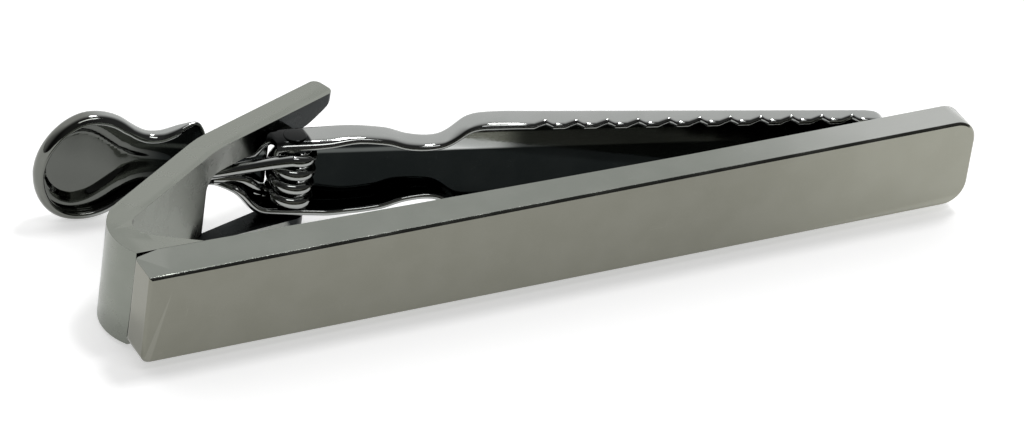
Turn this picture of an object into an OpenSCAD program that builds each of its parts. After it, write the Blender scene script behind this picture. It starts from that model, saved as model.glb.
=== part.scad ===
// Tie clip: a flat bar with a hairpin fork arm brazed to its back, and a sprung toothed
// lever that turns on a riveted pin and closes on the back of the bar.
// X runs along the bar, Y goes from its front face to the back, Z is up.
// The origin is the middle of the bar's front face.

/* [Bar] */
// Length of the bar
bar_l = 54.8; // [48:0.2:62]
// Height of the bar
bar_h = 6; // [5.6:0.1:6.6]
// Thickness of the bar at its right end
bar_end_t = 2; // [1.6:0.1:2.3]
// Thickness of the bar at its left end
bar_root_t = 2.7; // [2.4:0.1:3]
// Length over which the bar gets thinner
bar_taper_l = 36; // [28:1:44]
// Bevel along the front edges of the bar
bar_bevel = 0.2; // [0.05:0.05:0.4]
// Radius of the two corners at the right end
bar_corner_r = 1.5; // [0.5:0.1:2.5]
// How far the left end is set back behind its front edge
bar_end_cut = 0.7; // [0.2:0.1:1]

/* [Arm] */
// Thickness of the arm's strip
arm_t = 1.6; // [1.4:0.1:1.8]
// How far the strip reaches below the bar
arm_drop = 0.4; // [0.35:0.05:0.6]
// Outer radius of the hairpin bend
bend_r = 3.4; // [3.2:0.1:3.6]
// Inner radius of the hairpin bend
bend_in_r = 1.1; // [0.8:0.1:1.4]
// How far the bend reaches past the left end of the bar
bend_reach = 0.35; // [0.1:0.05:0.6]
// Place of the bend's centre behind the front face
bend_y = 4.62; // [4.5:0.02:4.8]
// Length of the foot that is brazed to the bar
foot_l = 4.6; // [4:0.1:5.2]
// Slope of the filled inner corner of the foot
foot_angle = 28; // [26:1:30]
// Slope of the arm behind the bend
rise_angle = 32.8; // [32:0.2:33.4]
// Slope of the prongs
tail_angle = 20.8; // [20:0.2:21.6]
// Distance from the bar's left end to the crotch, where the slope changes
knee_x = 8.5; // [8.2:0.1:8.8]
// Radius of the change of slope
knee_r = 8; // [4:1:12]
// Length of the upper prong, from the crotch to its tip
prong_l = 9.7; // [8.8:0.1:10.4]
// Radius of the corner of the prong's tip
prong_tip_r = 0.5; // [0.2:0.1:0.7]
// How much lower the upper prong is near its tip than at its root
prong_taper = 0.3; // [0.1:0.05:0.5]
// Length of the slanted end of the prong
prong_bevel_l = 1.8; // [1.2:0.1:2.2]
// Radius of the crotch's upper corner
crotch_r = 0.9; // [0.5:0.1:1.1]

/* [Hinge] */
// Distance along the prongs from the crotch to the pin
pin_reach = 4.96; // [4.8:0.02:5.2]
// Distance from the inner side of the prongs to the pin
pin_drop = 1.5; // [1.45:0.01:1.6]
// Diameter of the pin
pin_d = 1; // [0.8:0.05:1.1]
// Running clearance round the pin, on the radius
pin_gap = 0.05; // [0.03:0.01:0.08]
// Clearance between the ears of the lever and the lugs of the arm
side_gap = 0.04; // [0.02:0.01:0.06]
// Diameter of the pin's heads
head_d = 1.6; // [1.4:0.1:1.8]
// Height of the pin's heads
head_h = 0.24; // [0.16:0.02:0.24]
// Radius of the arm's lugs round the pin
lug_r = 1; // [0.85:0.05:1.1]
// Thickness of the arm's upper lug
lug_t = 0.35; // [0.25:0.05:0.4]
// Width of the lower lug's root along the arm
lug_root_w = 2; // [1.6:0.1:2.4]

/* [Spring] */
// Diameter of the spring wire
wire_d = 0.52; // [0.46:0.01:0.52]
// Middle diameter of the coil
coil_d = 2.2; // [2:0.05:2.25]
// Clearance above and below the coil
coil_gap = 0.05; // [0.03:0.01:0.08]
// Clearance between the spring's leg and the edge of the crotch
leg_gap = 0.15; // [0.1:0.01:0.2]
// Distance from the pin to the end of the leg on the arm
arm_leg_l = 6.6; // [6.2:0.1:7]
// Distance from the pin to the end of the leg on the lever
lever_leg_l = 4; // [3.6:0.1:4.1]

/* [Lever] */
// Thickness of the lever's sheet
sheet_t = 0.4; // [0.34:0.02:0.42]
// Distance from the pin to the tip of the jaw
jaw_l = 36.55; // [34:0.1:36.6]
// Half height of the lever at its ears
ear_half = 2.65; // [2.6:0.05:2.8]
// Half height of the waist between the prongs
waist_half = 1.05; // [0.98:0.01:1.08]
// Clearance between the waist and the upper prong
waist_gap = 0.05; // [0.03:0.01:0.1]
// Half height of the jaw at its widest place
jaw_half = 3.45; // [3.1:0.05:3.6]
// Half height of the jaw at its tip
tip_half = 2.5; // [2.2:0.1:2.8]
// Depth of the jaw's flanges at its tip
tip_d = 1.25; // [1:0.05:1.4]
// Radius of the two corners at the jaw's tip
tip_r = 1.05; // [0.6:0.05:1.6]
// Distance from the pin to the back of the lever's web
web_back = 1.03; // [0.95:0.01:1.08]
// Distance from the pin to the front edges of the ears
ear_front = 1.05; // [0.95:0.05:1.2]
// How far the pad is set back behind the web
pad_step = 0.64; // [0.5:0.02:0.8]
// Half length of the oval thumb pad
pad_l = 3.25; // [3:0.05:3.5]
// Half height of the oval thumb pad
pad_h = 3.67; // [3.3:0.05:3.9]
// Distance from the pin to the middle of the thumb pad
pad_x = 11.86; // [11.5:0.05:12.3]
// Depth of the pad's rim
rim_d = 0.85; // [0.7:0.05:1]
// Radius of the dished floor of the pad
dish_r = 14; // [11:1:20]
// Right end of the coil's window
window_right = 2.3; // [2:0.1:2.6]
// Length of web that is left between the coil's window and the waist
window_lip = 0.5; // [0.4:0.05:0.7]
// Opening angle of the lever
open_angle = 10; // [6:0.5:10]
// Clearance between the lever and the arm
arm_gap = 0.3; // [0.2:0.05:0.35]

/* [Teeth] */
// Number of notches in each edge of the jaw
tooth_count = 11; // [7:1:12]
// Distance between two notches
tooth_pitch = 1.92; // [1.6:0.02:1.92]
// Depth of a notch
tooth_depth = 0.42; // [0.2:0.02:0.5]
// Width of a notch
tooth_w = 1.15; // [0.8:0.05:1.3]
// Distance from the pin to the first notch
tooth_start = 14.3; // [14:0.1:15]

/* [Hidden] */
$fn = 64;
over = 1;

// Finish colours
bar_colour = [0.55, 0.56, 0.52];
arm_colour = [0.58, 0.61, 0.58];
dark_colour = [0.12, 0.13, 0.13];

// Steps of the curved outlines
arc_step = 9;
taper_steps = 12;
taper_power = 1.2;
blend_steps = 5;

bar_top = bar_h / 2;
wire_r = wire_d / 2;
coil_r = coil_d / 2;
ear_in = ear_half - sheet_t;
arm_low = -bar_top - arm_drop;
lug_top = -ear_half - side_gap;
upper_lug_top = ear_in - side_gap;
pin_r = pin_d / 2;

// Points of an arc round a centre
function arc_points(c, r, a0, a1) =
    let (n = max(2, ceil(abs(a1 - a0) / arc_step)))
    [for (i = [0 : n]) c + r * [cos(a0 + (a1 - a0) * i / n), sin(a0 + (a1 - a0) * i / n)]];

function unit(p) = p / norm(p);

// Points of an oval with these two half lengths
function oval(a, b) = [for (i = [0 : 360 / arc_step - 1])
    [a * cos(i * arc_step), b * sin(i * arc_step)]];

// The arc that rounds the corner q between its neighbours p and s
function corner_points(p, q, s, r) =
    let (
        d1 = unit(p - q),
        d2 = unit(s - q),
        half = acos(d1 * d2) / 2,
        a = q + d1 * r / tan(half),
        b = q + d2 * r / tan(half),
        c = q + unit(d1 + d2) * r / sin(half),
        a0 = atan2(a[1] - c[1], a[0] - c[0]),
        a1 = atan2(b[1] - c[1], b[0] - c[0]),
        turn = (a1 - a0 + 540) % 360 - 180
    )
    arc_points(c, r, a0, a0 + turn);

// A closed outline of [point, radius] corners, each one rounded
function rounded(list) =
    [for (i = [0 : len(list) - 1])
        let (
            n = len(list),
            p = list[(i + n - 1) % n][0],
            q = list[i][0],
            s = list[(i + 1) % n][0],
            r = list[i][1]
        )
        each (r > 0 ? corner_points(p, q, s, r) : [q])];

// Value of a table of [place, value] rows, on a smooth curve that never passes its rows
function slope_at(rows, i) =
    i <= 0 || i >= len(rows) - 1 ? 0 :
    let (
        before = (rows[i][1] - rows[i - 1][1]) / (rows[i][0] - rows[i - 1][0]),
        after = (rows[i + 1][1] - rows[i][1]) / (rows[i + 1][0] - rows[i][0])
    )
    before * after <= 0 ? 0 : 2 * before * after / (before + after);
function curve(rows, x) =
    x <= rows[0][0] ? rows[0][1] :
    x >= rows[len(rows) - 1][0] ? rows[len(rows) - 1][1] :
    let (
        i = max([for (k = [0 : len(rows) - 2]) if (rows[k][0] <= x) k]),
        w = rows[i + 1][0] - rows[i][0],
        f = (x - rows[i][0]) / w,
        g = 1 - f
    )
    rows[i][1] * (1 + 2 * f) * g * g + slope_at(rows, i) * w * f * g * g
    + rows[i + 1][1] * (1 + 2 * g) * f * f - slope_at(rows, i + 1) * w * g * f * f;

// Places from the first to the last row of a table, with steps between the rows
function stations(table) =
    [for (k = [0 : len(table) - 2]) for (j = [0 : blend_steps - 1])
        table[k][0] + (table[k + 1][0] - table[k][0]) * j / blend_steps,
     table[len(table) - 1][0]];

// Moves the middle of the bar's front face to the origin
module place() translate([-bar_l / 2, 0, 0]) children();

// Moves a shape to the pin's axis
module at_pin() translate([pin_at[0], pin_at[1], 0]) children();

// Puts the lever's own directions in place: x along the lever, y to the back
module on_lever() at_pin() rotate([0, 0, -lever_angle]) children();

// Extrudes an outline evenly above and below the middle plane
module slab(h) translate([0, 0, -h / 2]) linear_extrude(height = h) children();

// Extrudes an X-Z outline along Y
module front_slab(y0, y1)
    translate([0, y1, 0]) rotate([90, 0, 0]) linear_extrude(height = y1 - y0) children();

// Bar
function bar_t(x) =
    bar_end_t + (bar_root_t - bar_end_t) * pow(max(0, 1 - x / bar_taper_l), taper_power);

// Points of the bar's back, from the right end to the left
bar_back = [for (i = [taper_steps : -1 : 0])
    let (x = bar_end_cut + (bar_taper_l - bar_end_cut) * i / taper_steps) [x, bar_t(x)]];

module front_bar() color(bar_colour) place() intersection() {
    slab(bar_h) polygon(concat(
        [[0, 0], [bar_l, 0], [bar_l, bar_end_t]],
        bar_back,
        [[0, bar_t(0) - bar_end_cut]]));
    front_slab(-over, bar_root_t + over) polygon(rounded([
        [[0, -bar_top], bar_bevel],
        [[bar_l, -bar_top], bar_corner_r],
        [[bar_l, bar_top], bar_corner_r],
        [[0, bar_top], bar_bevel]]));
    rotate([90, 0, 90]) linear_extrude(height = bar_l) polygon([
        [bar_bevel, -bar_top], [bar_root_t + over, -bar_top], [bar_root_t + over, bar_top],
        [bar_bevel, bar_top], [0, bar_top - bar_bevel], [0, -bar_top + bar_bevel]]);
}

// Arm: its outline seen from above
bend_at = [bend_r - bend_reach, bend_y];
rise_dir = [cos(rise_angle), sin(rise_angle)];
tail_dir = [cos(tail_angle), sin(tail_angle)];
rise_out = [-rise_dir[1], rise_dir[0]];
tail_out = [-tail_dir[1], tail_dir[0]];
rise_start = bend_at + bend_r * rise_out;
knee_out = rise_start + rise_dir * (knee_x - rise_start[0]) / rise_dir[0];
knee_in = knee_out - arm_t * unit(rise_out + tail_out) / cos((rise_angle - tail_angle) / 2);
prong_x = knee_x + prong_l;
tip_in = knee_in + tail_dir * (prong_x - knee_in[0]) / tail_dir[0];
tip_out = tip_in + arm_t * tail_out;
foot_end = [foot_l, bar_t(foot_l)];
foot_dir = [cos(foot_angle), -sin(foot_angle)];
cross_rise = rise_dir[0] * foot_dir[1] - rise_dir[1] * foot_dir[0];
heel_gap = foot_end - knee_in;
heel_in = knee_in
    + rise_dir * (heel_gap[0] * foot_dir[1] - heel_gap[1] * foot_dir[0]) / cross_rise;
foot_start_a = 180 + asin((bend_y - bar_t(0)) / bend_r);

// The pin stands in front of the prongs
pin_at = knee_in + tail_dir * pin_reach - tail_out * pin_drop;

// The closed lever leans so far that the tip of its jaw meets the back of the bar
tip_front = web_back - tip_d;
lever_angle = asin((pin_at[1] - bar_end_t - side_gap) / norm([jaw_l, tip_front]))
    + atan2(tip_front, jaw_l);

// The crotch, the waist that passes through it and the coil's window, in the lever's directions
function turned(p, a) = [p[0] * cos(a) - p[1] * sin(a), p[0] * sin(a) + p[1] * cos(a)];
function on_lever_at(p) = turned(p - pin_at, lever_angle);
crotch_edge = on_lever_at(knee_out);
waist_shares = [0.86, 0.585];
waist_left = -crotch_edge[0] * waist_shares[0];
waist_right = -crotch_edge[0] * waist_shares[1];
window_left = waist_right - window_lip;

module arm_plan() polygon(concat(
    arc_points(bend_at, bend_r, foot_start_a, 90 + rise_angle),
    corner_points(rise_start, knee_out, tip_out, knee_r),
    corner_points(knee_out, tip_out, tip_in, prong_tip_r),
    corner_points(tip_out, tip_in, knee_in, prong_tip_r),
    corner_points(tip_in, knee_in, heel_in, knee_r),
    corner_points(knee_in, heel_in, foot_end, bend_in_r),
    [foot_end]));

// Arm: its outline seen from the front, with the crotch and the upper prong
prong_low = waist_half + waist_gap;
prong_tip_low = prong_low + prong_taper;
module arm_front() polygon(concat(
    [[-bend_reach - over, arm_low], [knee_x, arm_low]],
    corner_points([knee_x, arm_low], [knee_x, prong_low], [prong_x, prong_low], crotch_r),
    [[prong_x - prong_bevel_l * 2, prong_tip_low],
     [prong_x - prong_bevel_l, prong_tip_low],
     [prong_x, bar_top - prong_tip_r],
     [prong_x + over, bar_top],
     [-bend_reach - over, bar_top]]));

// Lower lug: a blade from the foot of the crotch to the pin
lug_back = knee_in + tail_dir * (knee_x - knee_in[0]) / tail_dir[0];
lug_front = lug_back - rise_dir * lug_root_w;
module lower_lug_plan() {
    dir = unit(pin_at - lug_back);
    side = [-dir[1], dir[0]];
    front_dir = unit(pin_at - lug_front);
    front_side = [front_dir[1], -front_dir[0]];
    polygon([lug_back + rise_out * arm_t / 2, lug_front + rise_out * arm_t / 2, lug_front,
        pin_at + lug_r * front_side, pin_at, pin_at + lug_r * side, lug_back]);
    translate(pin_at) circle(r = lug_r);
}

// Upper lug: a tab from the prong to the pin, inside the lever's upper ear
module upper_lug_plan() {
    foot = pin_at + tail_out * (pin_drop + arm_t / 2);
    polygon([pin_at - tail_dir * lug_r, pin_at + tail_dir * lug_r,
        foot + tail_dir * lug_r, foot - tail_dir * lug_r]);
    translate(pin_at) circle(r = lug_r);
}

module fork_arm() color(arm_colour) place() difference() {
    union() {
        intersection() {
            translate([0, 0, arm_low]) linear_extrude(height = bar_top - arm_low) arm_plan();
            front_slab(-over, tip_out[1] + over) arm_front();
        }
        translate([0, 0, arm_low]) linear_extrude(height = lug_top - arm_low) lower_lug_plan();
        translate([0, 0, upper_lug_top - lug_t]) linear_extrude(height = lug_t)
            upper_lug_plan();
    }
    // The foot lies on the back of the bar
    translate([0, 0, arm_low - over]) linear_extrude(height = bar_h + arm_drop + over * 2)
        polygon(concat([[bar_taper_l, -over]], bar_back, [[bar_end_cut, -over]]));
    at_pin() slab(bar_h + over * 2) circle(r = pin_r);
}

// Pin, riveted over at both ends
pin_top = ear_half + side_gap;
module pivot_pin() color(dark_colour) place() at_pin() rotate_extrude() polygon([
    [0, arm_low - head_h], [head_d / 2, arm_low - head_h], [head_d / 2, arm_low],
    [pin_r, arm_low], [pin_r, pin_top],
    [head_d / 2, pin_top], [head_d / 2, pin_top + head_h], [0, pin_top + head_h]]);

// Spring: its path in the lever's directions, from the leg on the lever to the leg on the arm
ring_sides = 6;
rings_per_turn = 8;
leg_steps = 5;
coil_low = -ear_in + coil_gap + wire_r;
coil_high = upper_lug_top - lug_t - coil_gap - wire_r;
web_front = web_back - sheet_t;
waist_in = waist_half - sheet_t;
leg_z = waist_in - wire_r - side_gap;
lever_leg_y = web_front - wire_r - side_gap;
full_turns = 3;

// Each leg leaves the coil where its line just touches the coil: one runs to its seat on the
// lever, and the other passes the edge of the crotch
lever_leg_angle = atan2(lever_leg_y, -window_left)
    - acos(coil_r / norm([window_left, lever_leg_y]));
arm_leg_angle = atan2(crotch_edge[1], crotch_edge[0])
    + acos((coil_r + wire_r + leg_gap) / norm(crotch_edge)) - (crotch_edge[1] > 0 ? 360 : 0);
coil_sweep = lever_leg_angle - arm_leg_angle + 360 * full_turns;
coil_rings = ceil(coil_sweep / 360 * rings_per_turn);
coil_path = [for (i = [0 : coil_rings])
    let (a = lever_leg_angle - coil_sweep * i / coil_rings)
    [coil_r * cos(a), coil_r * sin(a), coil_low + (coil_high - coil_low) * i / coil_rings]];

// A leg runs on level from the coil until it is clear of the other turns
leg_clear = coil_r + wire_d;
function along_leg(p, angle, x) =
    [x, p[1] + (x - p[0]) * sin(angle) / cos(angle), p[2]];
function steps(p, q) = [for (i = [1 : leg_steps]) p + (q - p) * i / leg_steps];
coil_first = coil_path[0];
coil_last = coil_path[coil_rings];
lever_leg_clear = along_leg(coil_first, lever_leg_angle + 90, -leg_clear);
lever_leg_bend = [-window_left, lever_leg_y, -leg_z];
lever_leg_end = [-lever_leg_l, lever_leg_y, -leg_z];
arm_leg_clear = along_leg(coil_last, arm_leg_angle - 90, -leg_clear);
arm_leg_bend = concat([for (k = [0, 1])
    along_leg(coil_last, arm_leg_angle - 90, -window_left - wire_r)[k]], [leg_z]);
arm_leg_end = concat([for (k = [0, 1])
    along_leg(coil_last, arm_leg_angle - 90, -arm_leg_l)[k]], [leg_z]);
spring_path = concat(
    [lever_leg_end],
    steps(lever_leg_end, lever_leg_bend),
    steps(lever_leg_bend, lever_leg_clear),
    steps(lever_leg_clear, coil_first),
    [for (i = [1 : coil_rings]) coil_path[i]],
    steps(coil_last, arm_leg_clear),
    steps(arm_leg_clear, arm_leg_bend),
    steps(arm_leg_bend, arm_leg_end));

// A closed tube of triangles along a path
module tube(path, r, sides) {
    last = len(path) - 1;
    rings = [for (i = [0 : last])
        let (
            along = unit(path[min(i + 1, last)] - path[max(i - 1, 0)]),
            side = unit(cross(along, [0, 0, 1])),
            up = cross(side, along)
        )
        for (k = [0 : sides - 1]) path[i]
            + r * (side * cos(360 * k / sides) + up * sin(360 * k / sides))];
    walls = [for (i = [0 : last - 1]) for (k = [0 : sides - 1])
        let (a = i * sides + k, b = i * sides + (k + 1) % sides)
        each [[a, b, a + sides], [b, b + sides, a + sides]]];
    caps = [for (k = [1 : sides - 2]) each [[0, k + 1, k],
        [last * sides, last * sides + k, last * sides + k + 1]]];
    polyhedron(points = rings, faces = concat(walls, caps));
}

// Least gap of the wire to itself, measured on the path's points that lie apart along it
path_count = len(spring_path);
path_length = [for (i = 0, sum = 0; i < path_count;
    sum = sum + (i < path_count - 1 ? norm(spring_path[i + 1] - spring_path[i]) : 0), i = i + 1)
    sum];
spring_gap = min([for (i = [0 : path_count - 2]) for (j = [i + 1 : path_count - 1])
    if (path_length[j] - path_length[i] > coil_d) norm(spring_path[i] - spring_path[j])]) - wire_d;
echo(str("Closed lever's angle: ", lever_angle, " degrees"));
echo(str("Least gap of the spring wire to itself: ", spring_gap, " mm"));

module torsion_spring() color(dark_colour) place() on_lever() tube(spring_path, wire_r, ring_sides);

// Lever
pad_back = web_back + pad_step;
pad_front = pad_back - rim_d;

// Tables of the lever's outline. A place left of the pin is given as a share of the way from
// the pin to the waist, or of the way from the waist to the pad. A place right of the pin is
// a share of the jaw's length.
function fork_place(share) = -waist_left * share;
function neck_place(share) = -waist_left - (pad_x - pad_l - waist_left) * share;

// Half height: [share of the way, share of ear_half, share of the other size]
neck_half_shares = [
    [1.2, 0.96, 0], [1, 0.89, 0], [0.74, 0.915, 0], [0.42, 0.985, 0], [0.217, 0.96, 0],
    [0, 0, 1]];
fork_half_shares = [[0.68, 0, 1], [0.461, 0.83, 0], [0.311, 1, 0]];
jaw_half_shares = [
    [0.035, 1, 0], [0.085, 0.98, 0], [0.153, 0.905, 0], [0.19, 0.81, 0], [0.222, 0.743, 0],
    [0.242, 0.743, 0], [0.262, 0.85, 0], [0.285, 0, 0.86], [0.31, 0, 0.985], [0.345, 0, 1]];
half_rows = concat(
    [for (r = neck_half_shares) [neck_place(r[0]), ear_half * r[1] + waist_half * r[2]]],
    [for (r = fork_half_shares) [fork_place(r[0]), ear_half * r[1] + waist_half * r[2]]],
    [for (r = jaw_half_shares) [jaw_l * r[0], ear_half * r[1] + jaw_half * r[2]]]);

// Front edges: [share of the way, share of pad_front, share of ear_front]
neck_front_shares = [
    [1.2, 1, 0], [0.94, 0.8, 0], [0.648, 0.7, 0], [0.45, 0.8, 0], [0.275, 1.17, 0],
    [0.1, 1.5, 0], [0.056, 1.5, 0]];
fork_front_shares = [[0.952, 0, 0.1], [0.777, 0, 0.57], [0.623, 0, 1]];
jaw_front_shares = [
    [0.014, 0, 1], [0.055, 0, 0.64], [0.109, 0, 0.29], [0.172, 0, 0.24], [0.238, 0, 0.1],
    [0.274, 0, 0.33], [0.315, 0, 0.57], [0.356, 0, 0.65]];
front_rows = concat(
    [for (r = neck_front_shares) [neck_place(r[0]), pad_front * r[1] - ear_front * r[2]]],
    [for (r = fork_front_shares) [fork_place(r[0]), -ear_front * r[2]]],
    [for (r = jaw_front_shares) [jaw_l * r[0], -ear_front * r[2]]]);

// Back of the web: it steps back on its way to the pad
step_shares = [0.056, 0.646];
back_rows = [[neck_place(step_shares[0]), pad_back], [fork_place(step_shares[1]), web_back]];

function last_row(rows) = rows[len(rows) - 1];

// The lever's face outline, drawn in by the inset
module lever_face(inset) {
    wide = last_row(half_rows);
    up = concat(
        [for (x = stations(half_rows)) [x, curve(half_rows, x) - inset]],
        corner_points(wide - [0, inset], [jaw_l - inset, tip_half - inset],
            [jaw_l - inset, 0], tip_r - inset));
    polygon(concat(up, [for (k = [len(up) - 1 : -1 : 0]) [up[k][0], -up[k][1]]]));
    translate([-pad_x, 0]) polygon(oval(pad_l - inset, pad_h - inset));
}

// The lever's outline seen from above, from its front edges to the back of its web
back_line = concat([[-pad_x - pad_l - over, pad_back]],
    [for (x = stations(back_rows)) [x, curve(back_rows, x)]],
    [[jaw_l + over, web_back]]);
front_line = concat([[-pad_x - pad_l - over, pad_front]],
    [for (x = stations(front_rows)) [x, curve(front_rows, x)]],
    [[jaw_l, tip_front], [jaw_l + over, tip_front]]);
function reversed(list) = [for (k = [len(list) - 1 : -1 : 0]) list[k]];
module lever_side() polygon(concat(front_line, reversed(back_line)));
module cavity_side() polygon(concat(
    [[-pad_x - pad_l - over, -ear_front - over], [jaw_l + over, -ear_front - over]],
    [for (p = reversed(back_line)) [p[0], p[1] - sheet_t]]));

// Front edge of the jaw at a place, for its teeth
function jaw_front(x) =
    let (a = last_row(front_rows))
    a[1] + (tip_front - a[1]) * (x - a[0]) / (jaw_l - a[0]);
tooth_lean_share = 0.7;
module teeth() for (i = [0 : tooth_count - 1]) {
    x = tooth_start + tooth_pitch * i;
    y = jaw_front(x + tooth_w / 2);
    polygon([[x, y - over], [x + tooth_w, y - over], [x + tooth_w, y],
        [x + tooth_w * tooth_lean_share, y + tooth_depth], [x, y]]);
}

// Dished floor of the pad: a shallow spherical cap behind the pad's plane
dish_l = pad_l - sheet_t * 2;
dish_h = pad_h - sheet_t * 2;
dish_d = dish_r - sqrt(pow(dish_r, 2) - pow(dish_h, 2));
module dish(shift) intersection() {
    translate([-pad_x, pad_back + dish_d - dish_r - shift, 0]) sphere(r = dish_r);
    front_slab(pad_back - shift - sheet_t, pad_back + dish_d + over)
        translate([-pad_x, 0]) polygon(oval(dish_l, dish_h));
}

// Room for the prongs, from the closed lever to the open one
module prong_room() {
    inner = on_lever_at(knee_in - tail_out * arm_gap);
    outer = turned(knee_out + tail_out * arm_gap - pin_at, lever_angle - open_angle);
    inner_dir = turned(tail_dir, lever_angle);
    outer_dir = turned(tail_dir, lever_angle - open_angle);
    reach = pin_reach + arm_t;
    polygon([inner + inner_dir * reach, inner - inner_dir * arm_t / 2,
        outer - outer_dir * arm_t / 4, outer + outer_dir * reach]);
}

module clasp_lever() color(dark_colour) place() on_lever() difference() {
    union() {
        intersection() {
            slab(pad_h * 2 + over) lever_side();
            front_slab(-ear_front - over, pad_back + over) lever_face(0);
        }
        dish(0);
    }
    intersection() {
        slab(pad_h * 2) cavity_side();
        front_slab(-ear_front - over * 2, pad_back) lever_face(sheet_t);
    }
    dish(sheet_t);
    // Window for the coil and the arm's upper lug
    intersection() {
        translate([-window_left, 0, -ear_half])
            cube([window_left + window_right, web_back + over, ear_half * 2]);
        front_slab(-over, web_back + over * 2) lever_face(sheet_t);
    }
    for (side = [0, 1]) mirror([0, 0, side]) translate([0, 0, waist_half])
        linear_extrude(height = ear_half) prong_room();
    slab(pad_h * 2) teeth();
    slab(pad_h * 2) circle(r = pin_r + pin_gap);
}

front_bar();
fork_arm();
pivot_pin();
torsion_spring();
clasp_lever();
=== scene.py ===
# %% [markdown]
# # A dressed model of a tie clip
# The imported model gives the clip's solids at their real size. This script keeps them as the
# frame, rebuilds each piece over its solid with the round edges and bends of the real one, and
# gives each its finish. The clip's sizes below are in millimetres, and MM turns them into metres.

# %% Load the frame
import math

import bmesh
import bpy
from mathutils import Matrix, Vector


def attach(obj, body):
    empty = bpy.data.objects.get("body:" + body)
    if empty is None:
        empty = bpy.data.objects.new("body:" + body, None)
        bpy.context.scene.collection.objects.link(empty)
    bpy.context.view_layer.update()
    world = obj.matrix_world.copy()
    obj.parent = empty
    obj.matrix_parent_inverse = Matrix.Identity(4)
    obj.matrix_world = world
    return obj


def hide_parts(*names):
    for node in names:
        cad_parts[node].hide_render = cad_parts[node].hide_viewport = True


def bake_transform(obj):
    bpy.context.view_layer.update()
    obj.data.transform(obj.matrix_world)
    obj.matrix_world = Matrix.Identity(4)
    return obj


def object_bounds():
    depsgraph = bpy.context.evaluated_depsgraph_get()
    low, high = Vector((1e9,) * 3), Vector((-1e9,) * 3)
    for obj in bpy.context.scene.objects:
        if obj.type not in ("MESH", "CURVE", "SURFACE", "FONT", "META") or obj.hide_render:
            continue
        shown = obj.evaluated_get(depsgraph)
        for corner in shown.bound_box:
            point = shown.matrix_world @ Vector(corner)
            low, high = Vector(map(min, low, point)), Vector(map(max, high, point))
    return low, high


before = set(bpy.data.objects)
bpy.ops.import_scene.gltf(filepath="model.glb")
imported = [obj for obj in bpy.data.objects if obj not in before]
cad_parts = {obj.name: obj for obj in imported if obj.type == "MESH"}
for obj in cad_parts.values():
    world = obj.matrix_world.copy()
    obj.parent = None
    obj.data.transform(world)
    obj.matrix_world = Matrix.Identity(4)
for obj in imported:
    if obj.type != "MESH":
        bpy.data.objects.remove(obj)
cad_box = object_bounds()
MM = 0.001
print("nodes:", sorted(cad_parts))
print("box in mm:", [[round(c / MM, 2) for c in corner] for corner in cad_box])

# %% [markdown]
# ## Camera
# The photograph looks down on the clip from its front left, through a long lens from about
# 385 mm away, and it is tilted a little. The camera's matrix is built from the three angles.
# The two shifts move the picture the small way that the photograph's crop needs.

# %% Camera
AZIMUTH = math.radians(31.987)
ELEVATION = math.radians(34.019)
ROLL = math.radians(8.391)
DISTANCE = 384.914 * MM
TARGET = Vector((0.6, 5.0, 0.0)) * MM
SENSOR = 36.0
LENS = 229.13
SHIFT_X = -0.02916
SHIFT_Y = -0.0251


def add_camera():
    """Places the photograph's camera."""
    ahead = Vector((
        math.sin(AZIMUTH) * math.cos(ELEVATION),
        math.cos(AZIMUTH) * math.cos(ELEVATION),
        -math.sin(ELEVATION),
    ))
    level = Vector((math.cos(AZIMUTH), -math.sin(AZIMUTH), 0))
    above = level.cross(ahead)
    right = level * math.cos(ROLL) + above * math.sin(ROLL)
    up = above * math.cos(ROLL) - level * math.sin(ROLL)
    turn = Matrix((right, up, -ahead)).transposed().to_4x4()
    data = bpy.data.cameras.new("camera")
    data.sensor_width = SENSOR
    data.lens = LENS
    data.shift_x = SHIFT_X
    data.shift_y = SHIFT_Y
    data.clip_start = 0.01
    data.clip_end = 20
    camera = bpy.data.objects.new("camera", data)
    camera.matrix_world = Matrix.Translation(TARGET - ahead * DISTANCE) @ turn
    bpy.context.scene.collection.objects.link(camera)
    bpy.context.scene.camera = camera
    return camera


camera = add_camera()
print("camera at", [round(c / MM, 1) for c in camera.matrix_world.translation])

# %% [markdown]
# ## Helpers
# Each piece starts as a plain shape, such as a plane, a cube or a circle. The materials and the
# world are built from shader nodes: these short functions add a node, set or link its sockets,
# and give back its result.

# %% First shapes
def first_shape(name, add, **settings):
    """Adds a plane, cube, circle or the like, names it and applies its place and scale."""
    bpy.ops.object.select_all(action="DESELECT")
    add(**settings)
    piece = bpy.context.object
    piece.name = piece.data.name = name
    bpy.ops.object.transform_apply()
    return piece


# %% Node helpers
def add_node(tree, kind, **settings):
    """Adds a node and sets its properties."""
    node = tree.nodes.new("ShaderNode" + kind)
    for key, value in settings.items():
        setattr(node, key, value)
    return node


def feed(tree, socket, source):
    """Sets a socket to a value, or links it to another socket."""
    if isinstance(source, (int, float)):
        socket.default_value = source
    elif isinstance(source, (tuple, list)):
        socket.default_value = source if len(source) != 3 or socket.type != "RGBA" else (*source, 1)
    else:
        tree.links.new(source, socket)


def math_node(tree, operation, a, b=0.0):
    """A Math node's result."""
    node = add_node(tree, "Math", operation=operation)
    feed(tree, node.inputs[0], a)
    feed(tree, node.inputs[1], b)
    return node.outputs[0]


def times(tree, a, b):
    """The product of two values."""
    return math_node(tree, "MULTIPLY", a, b)


def ramp(tree, value, low, high, start=0.0, end=1.0):
    """A value carried smoothly from one range to another."""
    node = add_node(tree, "MapRange", interpolation_type="SMOOTHSTEP")
    for name, source in (("Value", value), ("From Min", low), ("From Max", high),
                         ("To Min", start), ("To Max", end)):
        feed(tree, node.inputs[name], source)
    return node.outputs["Result"]


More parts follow.
